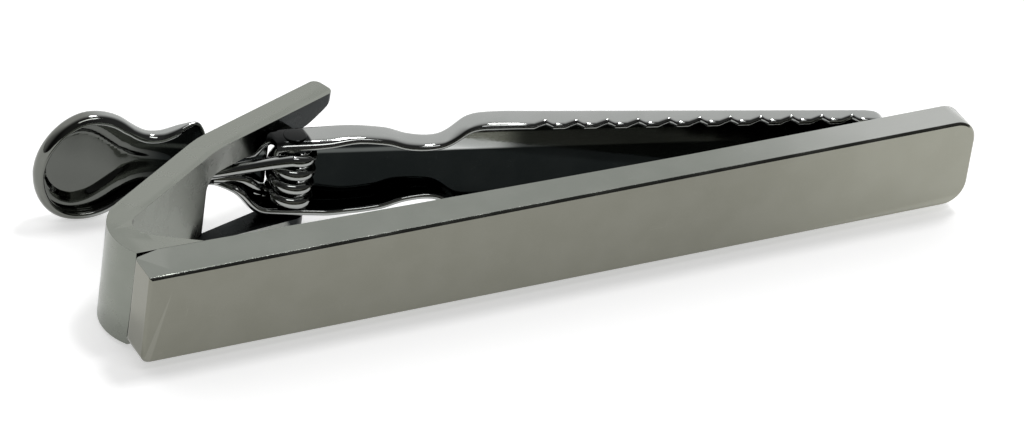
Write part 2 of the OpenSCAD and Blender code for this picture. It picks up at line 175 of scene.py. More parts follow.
def blend_colours(tree, share, one, two):
    """A mix of two colours."""
    node = add_node(tree, "Mix", data_type="RGBA")
    feed(tree, node.inputs["Factor"], share)
    feed(tree, node.inputs["A"], one)
    feed(tree, node.inputs["B"], two)
    return node.outputs["Result"]


def noise(tree, place, scale, detail=2.0, stretch=None, turn=(0, 0, 0)):
    """A noise pattern on Object coordinates, which may be stretched and turned."""
    if stretch:
        mapping = add_node(tree, "Mapping")
        feed(tree, mapping.inputs["Vector"], place)
        mapping.inputs["Scale"].default_value = stretch
        mapping.inputs["Rotation"].default_value = turn
        place = mapping.outputs["Vector"]
    node = add_node(tree, "TexNoise")
    feed(tree, node.inputs["Vector"], place)
    feed(tree, node.inputs["Scale"], scale)
    feed(tree, node.inputs["Detail"], detail)
    return node.outputs["Fac"]

# %% [markdown]
# ## Floor and light
# Polished metal is drawn by what it mirrors. The clip stands on a white sweep with white walls
# behind it, and it is dark in front, as a room is behind a photographer. One compact lamp
# nearly overhead gives the fine white lines on the edges, and the floor its soft shadow. A
# fainter strip in front lights the faces that look at the camera.

# %% Floor
FLOOR_HALF, FLOOR_LIFT = 3.0, 0.5
FLOOR_FINISH = {"Base Color": (0.9, 0.9, 0.9), "Roughness": 0.9, "Specular IOR Level": 0,
                "Emission Color": (1, 1, 1)}
floor_z = cad_box[0][2]


def add_floor():
    """Adds a white floor under the clip. Seen or mirrored, it is lifted to plain white."""
    floor = first_shape("floor", bpy.ops.mesh.primitive_plane_add, size=FLOOR_HALF * 2,
                        location=(0, 0, floor_z))
    material = bpy.data.materials.new("white_sweep")
    material.use_nodes = True
    tree = material.node_tree
    shader = tree.nodes["Principled BSDF"]
    for name, value in FLOOR_FINISH.items():
        feed(tree, shader.inputs[name], value)
    path = add_node(tree, "LightPath")
    seen = math_node(tree, "MAXIMUM", path.outputs["Is Camera Ray"], path.outputs["Is Glossy Ray"])
    feed(tree, shader.inputs["Emission Strength"], times(tree, seen, FLOOR_LIFT))
    floor.data.materials.append(material)
    return floor


floor = add_floor()
print("floor at z =", round(floor_z / MM, 2), "mm")

# %% Lamps
def add_area(name, place, size, height, power):
    """Adds a lamp with two sizes, in metres, that looks at the clip."""
    data = bpy.data.lights.new(name, "AREA")
    data.shape = "RECTANGLE"
    data.size = size
    data.size_y = height
    data.energy = power
    lamp = bpy.data.objects.new(name, data)
    lamp.location = place
    lamp.rotation_euler = (-Vector(place)).to_track_quat("-Z", "Y").to_euler()
    bpy.context.scene.collection.objects.link(lamp)
    return lamp


lamps = [add_area("ceiling_lamp", place=(0.33, 0.12, 1.14), size=0.2, height=0.2, power=4),
         add_area("strip_lamp", place=(0.12, -0.50, 1.05), size=0.6, height=0.16, power=1.2)]
print("lamps:", [lamp.name for lamp in lamps])

# %% World
WORLD_DARK, WORLD_WHITE, WORLD_SIDE = 0.05, 1.05, 0.35
FRONT_TO_BACK, LEFT_TO_MIDDLE = (-0.2, 0.5), (-0.85, -0.35)


def make_world():
    """White behind, dark in front and dimmer to the far left. The camera sees plain white."""
    world = bpy.data.worlds.new("studio")
    world.use_nodes = True
    bpy.context.scene.world = world
    tree = world.node_tree
    split = add_node(tree, "SeparateXYZ")
    feed(tree, split.inputs[0], add_node(tree, "TexCoord").outputs["Generated"])
    depth = ramp(tree, split.outputs["Y"], *FRONT_TO_BACK, WORLD_DARK, WORLD_WHITE)
    side = ramp(tree, split.outputs["X"], *LEFT_TO_MIDDLE, WORLD_SIDE)
    seen = add_node(tree, "LightPath").outputs["Is Camera Ray"]
    sky = blend_colours(tree, seen, times(tree, depth, side), (1, 1, 1))
    feed(tree, tree.nodes["Background"].inputs["Color"], sky)


make_world()
bpy.context.scene.view_settings.view_transform = "Standard"

# %% [markdown]
# ## Plating
# The whole clip is plated in gunmetal. On the bar and the arm it has a satin lustre over a
# faintly uneven polish. The lever, its spring and its pin are as smooth as a mirror, but the pin
# and the inside of the lever are painted nearly black as shade. All of them wear in the same way:
# cloudy patches, a fine grain, dust specks, hair scratches and paler edges. That wear is one node
# group, which each material places with its own values.

# %% The wear group
CLOUD_SCALE, GRAIN_SCALE, BREAK_SCALE, SPECK_SCALE = 420, 7000, 900, 1500
HAIR_ALONG = {"stretch": (90, 2600, 2600), "turn": (0.1, 0.35, 0.2)}
HAIR_ACROSS = {"stretch": (2400, 2400, 110), "turn": (0.6, 0.9, 0.1)}


def make_wear():
    """Builds the node group that all the platings share."""
    group = bpy.data.node_groups.new("plating_wear", "ShaderNodeTree")
    for name, kind, value in (
            ("Colour", "Color", (0.3, 0.3, 0.28, 1)), ("Worn", "Color", (0.4, 0.4, 0.38, 1)),
            ("Sleek", "Float", 0.1), ("Dull", "Float", 0.3), ("Clouds", "Float", 0.3),
            ("Scratches", "Float", 0.5), ("Specks", "Float", 0.5), ("Edges", "Float", 0.5)):
        socket = group.interface.new_socket(name, in_out="INPUT", socket_type="NodeSocket" + kind)
        socket.default_value = value
    for name, kind in (("Colour", "Color"), ("Roughness", "Float"), ("Height", "Float")):
        group.interface.new_socket(name, in_out="OUTPUT", socket_type="NodeSocket" + kind)
    given = group.nodes.new("NodeGroupInput").outputs
    target = group.nodes.new("NodeGroupOutput")
    place = add_node(group, "TexCoord").outputs["Object"]
    clouds = ramp(group, noise(group, place, CLOUD_SCALE, 5.0), 0.35, 0.68)
    grain = noise(group, place, GRAIN_SCALE, 3.0)
    hair = []
    for pattern, width in ((HAIR_ALONG, 0.006), (HAIR_ACROSS, 0.005)):
        offset = math_node(group, "SUBTRACT", noise(group, place, 1, **pattern), 0.5)
        hair.append(ramp(group, math_node(group, "ABSOLUTE", offset), width, 0.0))
    broken = ramp(group, noise(group, place, BREAK_SCALE, 1.0), 0.55, 0.66)
    scratches = times(group, math_node(group, "MAXIMUM", *hair), broken)
    scratches = times(group, scratches, given["Scratches"])
    cells = add_node(group, "TexVoronoi")
    feed(group, cells.inputs["Vector"], place)
    feed(group, cells.inputs["Scale"], SPECK_SCALE)
    dots = ramp(group, cells.outputs["Distance"], 0.07, 0.03)
    split = add_node(group, "SeparateColor")
    feed(group, split.inputs[0], cells.outputs["Color"])
    chosen = math_node(group, "GREATER_THAN", split.outputs[0], 0.86)
    specks = times(group, times(group, dots, chosen), given["Specks"])
    edge = ramp(group, add_node(group, "NewGeometry").outputs["Pointiness"], 0.53, 0.62)
    edge = times(group, edge, given["Edges"])
    patchy = math_node(group, "ADD", times(group, clouds, 0.7), times(group, grain, 0.6))
    patchy = times(group, patchy, given["Clouds"])
    share = math_node(group, "MAXIMUM", math_node(group, "MAXIMUM", patchy, edge),
                      math_node(group, "MAXIMUM", scratches, specks))
    feed(group, target.inputs["Colour"],
         blend_colours(group, share, given["Colour"], given["Worn"]))
    rough = math_node(group, "ADD", clouds, times(group, grain, 0.5))
    rough = ramp(group, rough, 0.1, 1.3, given["Sleek"], given["Dull"])
    rough = math_node(group, "ADD", rough, times(group, scratches, 0.12))
    feed(group, target.inputs["Roughness"], rough)
    height = math_node(group, "SUBTRACT", grain, times(group, scratches, 1.5))
    height = math_node(group, "ADD", height, times(group, clouds, 0.8))
    feed(group, target.inputs["Height"], height)
    return group


WEAR = make_wear()
print("wear group:", len(WEAR.nodes), "nodes")


# %% Plating materials
BUMP_DEPTH = 0.02


def plating(name, colour, worn, sleek, dull, bump, **amounts):
    """A plated metal with its own values of the shared wear."""
    material = bpy.data.materials.new(name)
    material.use_nodes = True
    tree = material.node_tree
    shader = tree.nodes["Principled BSDF"]
    shader.inputs["Metallic"].default_value = 1
    wear = tree.nodes.new("ShaderNodeGroup")
    wear.name = "wear"
    wear.node_tree = WEAR
    for socket, value in {"Colour": colour, "Worn": worn, "Sleek": sleek, "Dull": dull,
                          **amounts}.items():
        feed(tree, wear.inputs[socket], value)
    feed(tree, shader.inputs["Base Color"], wear.outputs["Colour"])
    feed(tree, shader.inputs["Roughness"], wear.outputs["Roughness"])
    relief = add_node(tree, "Bump")
    relief.inputs["Strength"].default_value = bump
    relief.inputs["Distance"].default_value = BUMP_DEPTH * MM
    feed(tree, relief.inputs["Height"], wear.outputs["Height"])
    feed(tree, shader.inputs["Normal"], relief.outputs["Normal"])
    return material


def tint(material, share, colour, worn):
    """Changes a plating's two colours where a mask says so."""
    tree = material.node_tree
    wear = tree.nodes["wear"]
    for name, there in (("Colour", colour), ("Worn", worn)):
        socket = wear.inputs[name]
        here = socket.links[0].from_socket if socket.links else tuple(socket.default_value)
        feed(tree, socket, blend_colours(tree, share, here, there))


def axis_of(tree, output, axis):
    """One axis of the Object coordinates or of the normal."""
    kind = "TexCoord" if output == "Object" else "NewGeometry"
    split = add_node(tree, "SeparateXYZ")
    feed(tree, split.inputs[0], add_node(tree, kind).outputs[output])
    return split.outputs[axis]


def along_and_up(tree):
    """The Object coordinates along the bar and up."""
    return axis_of(tree, "Object", 0), axis_of(tree, "Object", 2)


def fade(tree, value, places):
    """A mask that goes from 0 at one place to 1 at another. The places are in mm."""
    return ramp(tree, value, places[0] * MM, places[1] * MM)


def raised(tree, mask, low, more):
    """A length in mm, which a mask makes greater."""
    return math_node(tree, "ADD", times(tree, mask, more * MM), low * MM)


BAR_METAL = plating("satin_bar", (0.275, 0.275, 0.23), (0.36, 0.36, 0.31), 0.12, 0.22, bump=0.05,
                    Clouds=0.25, Scratches=0.5, Specks=0.8, Edges=0.6)
ARM_METAL = plating("satin_arm", (0.2, 0.213, 0.187), (0.29, 0.3, 0.27), 0.2, 0.32, bump=0.08,
                    Clouds=0.4, Scratches=0.4, Specks=0.6, Edges=0.5)
LEVER_METAL = plating("bright_lever", (0.33, 0.34, 0.33), (0.45, 0.46, 0.45), 0.05, 0.1,
                      bump=0.03, Clouds=0.2, Scratches=0.5, Specks=0.4, Edges=0.6)
WIRE_METAL = plating("bright_wire", (0.34, 0.35, 0.34), (0.45, 0.46, 0.45), 0.05, 0.1,
                     bump=0.03, Clouds=0.2, Scratches=0.3, Specks=0.2, Edges=0.2)
# Painted shade: the pin is painted nearly black.
SHADED_PIN_METAL = plating("pin_painted_shade", (0.01, 0.011, 0.011), (0.06, 0.06, 0.06), 0.05, 0.12,
                    bump=0.05, Clouds=0.1, Scratches=0.3, Specks=0.3, Edges=0.4)
# Painted shade: the lever's inside is a copy of its bright plating, painted nearly black.
SHADED_TRAY_METAL = plating("tray_painted_shade", (0.008, 0.01, 0.01), (0.12, 0.125, 0.12), 0.04, 0.09,
                     bump=0.03, Clouds=0.03, Scratches=0.12, Specks=0.08, Edges=0)

# %% [markdown]
# ## Painted shade and painted light
# Shade and reflections are painted into the platings' colours here. Inside the fork, past the
# crotch, the arm is painted nearly black as shade, and so are the lower lug and the lever's upper
# ear. Just before the crotch a patch is painted pale and less metallic, as painted light. On the
# thumb pad the tray is painted grey as a painted reflection. Along the upper part of the tray a
# grey stripe is a painted reflection, with a pale painted reflection at the joggle. The bar's faces
# that look up are painted paler as painted light, and the bar is painted darker from its right end
# to the left as painted shade. Masks on the Object coordinates and the normal put these in place.

# %% Masks on the bar and the arm
LEFT_SHADE_FADE, TOP_LIGHT_NORMALS = (24, 8), (0.6, 0.9)
INNER_SIDE, INNER_FACE = (0.355, -0.935, 0), (0.55, 0.8)
PAST_CROTCH, LIGHT_PATCH_FROM, LIGHT_PATCH_TO = (-15.6, -14.2), (-18.6, -17.6), (-14.6, -15.2)
SHADED_LUG_LOW, SHADED_LUG_LEFT = (-2.5, -2.6), (-19.6, -19.0)
tree = BAR_METAL.node_tree
left = fade(tree, axis_of(tree, "Object", 0), LEFT_SHADE_FADE)
level = ramp(tree, axis_of(tree, "Normal", 2), *TOP_LIGHT_NORMALS)
# Painted shade: the bar is painted darker from its right end towards the left.
tint(BAR_METAL, left, (0.195, 0.195, 0.162), (0.27, 0.27, 0.235))
# Painted light: faces that look up are painted paler.
tint(BAR_METAL, level, (0.42, 0.43, 0.41), (0.5, 0.51, 0.49))
# Painted shade: those tops are painted darker again towards the left.
tint(BAR_METAL, times(tree, level, left), (0.2, 0.213, 0.19), (0.28, 0.29, 0.265))
tree = ARM_METAL.node_tree
facing = add_node(tree, "VectorMath", operation="DOT_PRODUCT")
feed(tree, facing.inputs[0], add_node(tree, "NewGeometry").outputs["Normal"])
feed(tree, facing.inputs[1], INNER_SIDE)
inner_face = ramp(tree, facing.outputs["Value"], *INNER_FACE)
x, z = along_and_up(tree)
slanted = math_node(tree, "ADD", x, times(tree, z, 0.5))
# Painted shade: the arm's inner faces past the crotch are painted nearly black.
painted_fork_shade = times(tree, inner_face, fade(tree, slanted, PAST_CROTCH))
# Painted shade: the lower lug is painted nearly black.
lug = times(tree, fade(tree, z, SHADED_LUG_LOW), fade(tree, x, SHADED_LUG_LEFT))
tint(ARM_METAL, math_node(tree, "MAXIMUM", painted_fork_shade, lug), (0.018, 0.021, 0.022),
     (0.03, 0.032, 0.032))
# Painted light: just before the crotch a patch is painted pale and made less metallic.
painted_light_patch = times(tree, fade(tree, slanted, LIGHT_PATCH_FROM), fade(tree, slanted, LIGHT_PATCH_TO))
painted_light_patch = times(tree, painted_light_patch, inner_face)
tint(ARM_METAL, painted_light_patch, (0.62, 0.64, 0.6), (0.66, 0.68, 0.64))
feed(tree, tree.nodes["Principled BSDF"].inputs["Metallic"], ramp(tree, painted_light_patch, 0, 1, 1, 0.2))

# %% Masks on the lever
EAR_RIGHT, EAR_LEFT, EAR_TOP, EAR_FACING = (-12.2, -12.35), (-17.0, -16.6), (1.0, 1.2), (-0.7, -0.4)
FAR_END, PAD_PAINTED_LIGHT = (-23.0, -25.0), (-19.5, -22.5)
JOGGLE, PAST_JOGGLE = (-5.4, -3.3), (-1.6, 1.5)
STRIPE_HEIGHT, STRIPE_HALF, STRIPE_EDGE = (1.1, 0.4), (0.14, 0.43), (-0.08, 0.08)
tree = LEVER_METAL.node_tree
x, z = along_and_up(tree)
# Painted shade: the lever's upper ear under the prong, except its front rim, is painted nearly
# black.
painted_ear_shade = times(tree, fade(tree, x, EAR_RIGHT), fade(tree, x, EAR_LEFT))
painted_ear_shade = times(tree, painted_ear_shade, fade(tree, z, EAR_TOP))
painted_ear_shade = times(tree, painted_ear_shade, ramp(tree, axis_of(tree, "Normal", 1), *EAR_FACING))
tint(LEVER_METAL, fade(tree, x, FAR_END), (0.15, 0.155, 0.14), (0.24, 0.245, 0.23))
tint(LEVER_METAL, painted_ear_shade, (0.012, 0.013, 0.013), (0.03, 0.03, 0.03))
tree = SHADED_TRAY_METAL.node_tree
x, z = along_and_up(tree)
joggle, past_joggle = fade(tree, x, JOGGLE), fade(tree, x, PAST_JOGGLE)
centre = raised(tree, joggle, *STRIPE_HEIGHT)
wide = raised(tree, joggle, *STRIPE_HALF)
off_centre = math_node(tree, "ABSOLUTE", math_node(tree, "SUBTRACT", z, centre))
painted_stripe_reflection = fade(tree, math_node(tree, "SUBTRACT", wide, off_centre), STRIPE_EDGE)
fainter = ramp(tree, past_joggle, 0, 1, 1.0, 0.6)
# Painted reflection: a grey stripe along the tray, widest from the joggle on and fainter past it.
tint(SHADED_TRAY_METAL, times(tree, painted_stripe_reflection, fainter), (0.1, 0.108, 0.105), (0.16, 0.165, 0.16))
# Painted reflection: a pale lens in that stripe at the joggle.
lens = times(tree, joggle, ramp(tree, past_joggle, 0, 1, 1.0, 0.0))
tint(SHADED_TRAY_METAL, times(tree, painted_stripe_reflection, lens), (0.6, 0.62, 0.61), (0.65, 0.66, 0.65))
# Painted reflection: the tray is painted grey at the thumb pad.
tint(SHADED_TRAY_METAL, fade(tree, x, PAD_PAINTED_LIGHT), (0.12, 0.125, 0.115), (0.28, 0.29, 0.27))
PLATINGS = (BAR_METAL, ARM_METAL, LEVER_METAL, WIRE_METAL, SHADED_PIN_METAL, SHADED_TRAY_METAL)
print("platings:", [metal.name for metal in PLATINGS])

# %% [markdown]
# ## Tools of the bench
# The arm and its lugs start as a traced outline, as on paper: a plane is merged to one vertex,
# the vertex is extruded from point to point, and the loop is filled. Edges and faces are picked
# by their place, so that each step reads like the hand work that it stands for.

# %% Picking and applying
def use_only(piece):
    """Makes a piece the only selected one, and the active one."""
    bpy.ops.object.select_all(action="DESELECT")
    piece.select_set(True)
    bpy.context.view_layer.objects.active = piece


def pick(piece, kind, test):
    """In edit mode, selects the vertices, edges or faces of a piece that pass a test."""
    bpy.ops.mesh.select_mode(type=kind)
    bpy.ops.mesh.select_all(action="DESELECT")
    mesh = bmesh.from_edit_mesh(piece.data)
    mesh.normal_update()
    items = {"VERT": mesh.verts, "EDGE": mesh.edges, "FACE": mesh.faces}[kind]
    count = 0
    for item in items:
        if test(item):
            item.select_set(True)
            count += 1
    bmesh.update_edit_mesh(piece.data)
    return count


def apply_modifier(piece, kind, **settings):
    """Adds a modifier with its settings and applies it."""
    use_only(piece)
    modifier = piece.modifiers.new(kind.lower(), kind)
    for key, value in settings.items():
        setattr(modifier, key, value)
    bpy.ops.object.modifier_apply(modifier=modifier.name)


def smooth(piece, angle):
    """Shades a piece smooth, but for edges sharper than an angle in degrees."""
    use_only(piece)
    bpy.ops.object.shade_smooth_by_angle(angle=math.radians(angle))


def ends(edge):
    """The two ends of an edge, in mm."""
    return [v.co / MM for v in edge.verts]


# %% Tracing and extruding
def push(step):
    """Extrudes what is selected by a step."""
    bpy.ops.mesh.extrude_region_move(TRANSFORM_OT_translate={"value": step})


def trace(name, points):
    """Traces a closed outline in mm from vertex to vertex, and fills it with one face."""
    points = [Vector(p) * MM for p in points]
    piece = first_shape(name, bpy.ops.mesh.primitive_plane_add, size=MM, location=points[0])
    bpy.ops.object.mode_set(mode="EDIT")
    bpy.ops.mesh.select_mode(type="VERT")
    bpy.ops.mesh.select_all(action="SELECT")
    bpy.ops.mesh.merge(type="CENTER")
    for here, there in zip(points, points[1:]):
        push(there - here)
    bpy.ops.mesh.select_all(action="SELECT")
    bpy.ops.mesh.edge_face_add()
    bpy.ops.object.mode_set(mode="OBJECT")
    return piece


def extrude_all(piece, step):
    """Gives a traced face its depth, in mm, and turns its faces outwards."""
    use_only(piece)
    bpy.ops.object.mode_set(mode="EDIT")
    bpy.ops.mesh.select_all(action="SELECT")
    push(Vector(step) * MM)
    bpy.ops.mesh.select_all(action="SELECT")
    bpy.ops.mesh.normals_make_consistent(inside=False)
    bpy.ops.object.mode_set(mode="OBJECT")


def cut(piece, tool, operation="DIFFERENCE"):
    """Cuts a piece with another one, or joins them, and throws the tool away."""
    apply_modifier(piece, "BOOLEAN", operation=operation, object=tool, solver="EXACT")
    bpy.data.objects.remove(tool)


# %% Arcs and corners
ARC_STEP = 7.5


def arc(centre, radius, start, end):
    """Points of an arc in a plane, angles in degrees."""
    count = max(2, math.ceil(abs(end - start) / ARC_STEP))
    angles = [math.radians(start + (end - start) * i / count) for i in range(count + 1)]
    return [(centre[0] + radius * math.cos(a), centre[1] + radius * math.sin(a)) for a in angles]


def corner(before, at, after, radius):
    """The arc that rounds the corner between its two neighbours."""
    at = Vector(at)
    one = (Vector(before) - at).normalized()
    two = (Vector(after) - at).normalized()
    half = one.angle(two) / 2
    centre = at + (one + two).normalized() * radius / math.sin(half)
    first = at + one * radius / math.tan(half) - centre
    last = at + two * radius / math.tan(half) - centre
    start = math.degrees(math.atan2(first.y, first.x))
    end = math.degrees(math.atan2(last.y, last.x))
    turn = (end - start + 540) % 360 - 180
    return arc(centre, radius, start, start + turn)


def dress(piece, body, slot, node, *finishes):
    """Gives a finished piece its body and its materials, and hides the node it stands for. The slot
    is not used.
    """
    while len(piece.data.materials) < len(finishes):
        piece.data.materials.append(None)
    for index, finish in enumerate(finishes):
        piece.data.materials[index] = finish
    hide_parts(node)
    if body:
        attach(piece, body)
    print(piece.name, len(piece.data.vertices), "vertices,", len(piece.data.polygons), "faces")

# %% [markdown]
# ## Front bar
# The bar is a flat strip that gets a little thicker towards the hinge. It starts as a cube,
# is cut across with bisect so that its back can be raised step by step, and its corners and
# edges are then bevelled, each with its own radius: a fine crisp one along the front. Its back
# slopes away at the left end, which leaves the small notch where the arm turns off.

# %% Front bar
BAR_LENGTH, BAR_HEIGHT = 54.8, 6.0
BAR_END, BAR_ROOT = 2.0, 2.7
BAR_TAPER, TAPER_CURVE, TAPER_STEPS = 36.0, 1.2, 12
NOTCH_LENGTH, NOTCH_DEPTH = 1.75, 0.5
FREE_CORNER, HINGE_CORNER, NOTCH_EDGE, FRONT_BEVEL, FINE_EDGE = 1.5, 0.6, 0.3, 0.15, 0.03
LEFT, RIGHT, TOP = -BAR_LENGTH / 2, BAR_LENGTH / 2, BAR_HEIGHT / 2


def bar_thickness(x):
    """Thickness of the bar at a distance from its left end."""
    return BAR_END + (BAR_ROOT - BAR_END) * max(0.0, 1 - x / BAR_TAPER) ** TAPER_CURVE


def bevel_edges(piece, test, offset, segments):
    """Bevels the edges of a piece that pass a test. The offset is in mm."""
    use_only(piece)
    bpy.ops.object.mode_set(mode="EDIT")
    count = pick(piece, "EDGE", test)
    bpy.ops.mesh.bevel(offset=offset * MM, segments=segments, affect="EDGES")
    bpy.ops.object.mode_set(mode="OBJECT")
    return count


def near(value, target):
    """Whether a place is at a target, to a fiftieth of a mm."""
    return abs(value - target) < 0.02


def add_bar():
    """Models the bar from a cube."""
    bar = first_shape("bar", bpy.ops.mesh.primitive_cube_add, size=1,
                      location=(0, BAR_END / 2 * MM, 0),
                      scale=Vector((BAR_LENGTH, BAR_END, BAR_HEIGHT)) * MM)
    bpy.ops.object.mode_set(mode="EDIT")
    stops = [0, NOTCH_LENGTH]
    stops += [BAR_TAPER * step / TAPER_STEPS for step in range(1, TAPER_STEPS + 1)]
    for x in stops[1:]:
        bpy.ops.mesh.select_all(action="SELECT")
        bpy.ops.mesh.bisect(plane_co=((LEFT + x) * MM, 0, 0), plane_no=(1, 0, 0))
    for x in stops:
        pick(bar, "VERT", lambda v: near(v.co.x / MM, LEFT + x) and v.co.y / MM > 1)
        rise = bar_thickness(x) - BAR_END - (NOTCH_DEPTH if x == 0 else 0)
        bpy.ops.transform.translate(value=(0, rise * MM, 0))
    bpy.ops.object.mode_set(mode="OBJECT")
    return bar


bar = add_bar()
print("bar:", len(bar.data.vertices), "vertices")


# %% Bevel the bar's corners and edges
def along(edge, axis, *places):
    """Whether both ends of an edge lie at these places on an axis."""
    return any(all(near(p[axis], place) for p in ends(edge)) for place in places)


def on_outline(edge):
    """Whether an edge runs round the bar's front face."""
    return along(edge, 1, 0) and edge.calc_face_angle(0) > 1


bevel_edges(bar, lambda e: along(e, 0, RIGHT) and along(e, 2, -TOP, TOP), FREE_CORNER, 10)
bevel_edges(bar, lambda e: along(e, 0, LEFT) and along(e, 2, -TOP), HINGE_CORNER, 5)
bevel_edges(bar, lambda e: along(e, 0, LEFT) and along(e, 1, BAR_ROOT - NOTCH_DEPTH),
            NOTCH_EDGE, 4)
print("front edges:", bevel_edges(bar, on_outline, FRONT_BEVEL, 1))
apply_modifier(bar, "BEVEL", width=FINE_EDGE * MM, segments=2, limit_method="ANGLE",
               angle_limit=math.radians(25))
smooth(bar, 30)
apply_modifier(bar, "WEIGHTED_NORMAL", keep_sharp=True)
dress(bar, "bar", "satin_bar", "front_bar", BAR_METAL)

# %% [markdown]
# ## Fork arm
# The arm is one cast strip: a foot on the back of the bar, a hairpin, a straight rise, and past
# the crotch a long upper prong. Its outline is traced as seen from above and extruded to the
# strip's height. A second outline, seen from the front, cuts the crotch and the prong.

# %% Arm outlines
STRIP = 1.6
ARM_LOW = -3.4
BEND_RADIUS, BEND_INNER = 3.4, 1.1
BEND_CENTRE = Vector((LEFT + 3.05, 4.62))
RISE, TAIL = math.radians(32.8), math.radians(20.8)
KNEE_X, PRONG_X = LEFT + 8.5, LEFT + 18.45
PRONG_LOW, PRONG_TIP_LOW = 1.32, 1.4
KNEE_RADIUS, CROTCH_RADIUS, PRONG_CORNER, EDGE_ROUND = 8, 0.9, 0.5, 0.38
FOOT_LENGTH, FOOT_SLOPE, BRAZE = 4.6, math.radians(28), 0.05
CUTTER_DEPTH = 25
rise_dir = Vector((math.cos(RISE), math.sin(RISE)))
tail_dir = Vector((math.cos(TAIL), math.sin(TAIL)))
rise_out = Vector((-rise_dir.y, rise_dir.x))
tail_out = Vector((-tail_dir.y, tail_dir.x))
rise_start = BEND_CENTRE + BEND_RADIUS * rise_out
knee_out = rise_start + rise_dir * (KNEE_X - rise_start.x) / rise_dir.x
knee_in = knee_out - STRIP * (rise_out + tail_out).normalized() / math.cos((RISE - TAIL) / 2)
tip_in = knee_in + tail_dir * (PRONG_X - knee_in.x) / tail_dir.x
tip_out = tip_in + tail_out * STRIP
foot_end = Vector((LEFT + FOOT_LENGTH, bar_thickness(FOOT_LENGTH) - BRAZE))
toe_end = Vector((LEFT + NOTCH_LENGTH + 0.1, bar_thickness(NOTCH_LENGTH) - BRAZE))
foot_dir = Vector((math.cos(FOOT_SLOPE), -math.sin(FOOT_SLOPE)))
gap = foot_end - knee_in
reach = (gap.x * foot_dir.y - gap.y * foot_dir.x) / rise_dir.cross(foot_dir)
heel_in = knee_in + rise_dir * reach
print("arm from", [round(c, 2) for c in knee_out], "to", [round(c, 2) for c in tip_out])


def strip_outline():
    """The arm's outline seen from above."""
    toe = 180 + math.degrees(math.asin((BEND_CENTRE.y - BAR_ROOT + 0.1) / BEND_RADIUS))
    return ([tuple(toe_end)] + arc(BEND_CENTRE, BEND_RADIUS, toe, 90 + math.degrees(RISE))
            + corner(rise_start, knee_out, tip_out, KNEE_RADIUS)
            + corner(knee_out, tip_out, tip_in, PRONG_CORNER)
            + corner(tip_out, tip_in, knee_in, PRONG_CORNER)
            + corner(tip_in, knee_in, heel_in, KNEE_RADIUS)
            + corner(knee_in, heel_in, foot_end, BEND_INNER)
            + [tuple(foot_end)])


def crotch_outline():
    """What is cut away below the prong, seen from the front, as (x, z)."""
    low = ARM_LOW - 1
    return ([(KNEE_X, low)]
            + corner((KNEE_X, low), (KNEE_X, PRONG_LOW), (PRONG_X, PRONG_LOW), CROTCH_RADIUS)
            + corner((PRONG_X - 6, PRONG_TIP_LOW), (PRONG_X - 2, PRONG_TIP_LOW),
                     (PRONG_X, TOP - 0.6), 2.5)
            + corner((PRONG_X - 2, PRONG_TIP_LOW), (PRONG_X - 0.25, TOP - 0.75),
                     (PRONG_X + 0.5, TOP + 2), 1.2)
            + [(PRONG_X + 1, TOP + 2), (PRONG_X + 1, low)])


# %% Fork arm
def add_arm():
    """Traces and cuts the arm's strip."""
    arm = trace("arm", [(x, y, ARM_LOW) for x, y in strip_outline()])
    extrude_all(arm, (0, 0, TOP - ARM_LOW))
    crotch = trace("crotch", [(x, 0, z) for x, z in crotch_outline()])
    extrude_all(crotch, (0, CUTTER_DEPTH, 0))
    cut(arm, crotch)
    return arm


def rounded_edge(edge):
    """Whether an edge of the arm is sharp and doesn't lie against the bar."""
    on_bar = all(p.y - bar_thickness(p.x - LEFT) < 0.05 for p in ends(edge))
    return edge.calc_face_angle(0) > math.radians(35) and not on_bar


arm = add_arm()
bpy.ops.object.mode_set(mode="EDIT")
print("rounded edges:", pick(arm, "EDGE", rounded_edge))
bpy.ops.transform.edge_bevelweight(value=1)
pick(arm, "EDGE", lambda e: rounded_edge(e) and min(p.x for p in ends(e)) > PRONG_X - 1.7)
bpy.ops.transform.edge_bevelweight(value=-0.5)
pick(arm, "EDGE", lambda e: rounded_edge(e) and any(near(p.x, foot_end.x) for p in ends(e)))
bpy.ops.transform.edge_bevelweight(value=-0.9)
bpy.ops.object.mode_set(mode="OBJECT")
apply_modifier(arm, "BEVEL", width=EDGE_ROUND * MM, segments=5, limit_method="WEIGHT")
print("arm:", len(arm.data.vertices), "vertices")


# %% Lugs of the arm
PIN = Vector((-13.0052, 11.1003))
LUG_RADIUS, LUG_ROOT, LUG_SUNK = 1.0, 2.0, 0.8
LOW_LUG_TOP, TOP_LUG_ROOT = -2.69, 2.3
LUG_TOP = (2.04, 2.22)


def add_lug(name, points, low, high):
    """One lug: its outline seen from above, from one height to another."""
    lug = trace(name, [(p[0], p[1], low) for p in points])
    extrude_all(lug, (0, 0, high - low))
    return lug


def tangent_arc(start_dir, end_dir):
    """The round end of a lug, from one side to the other, the short way round the pin."""
    start = math.degrees(math.atan2(start_dir.y, start_dir.x))
    end = math.degrees(math.atan2(end_dir.y, end_dir.x))
    while end > start:
        end -= 360
    return arc(PIN, LUG_RADIUS, start, end)


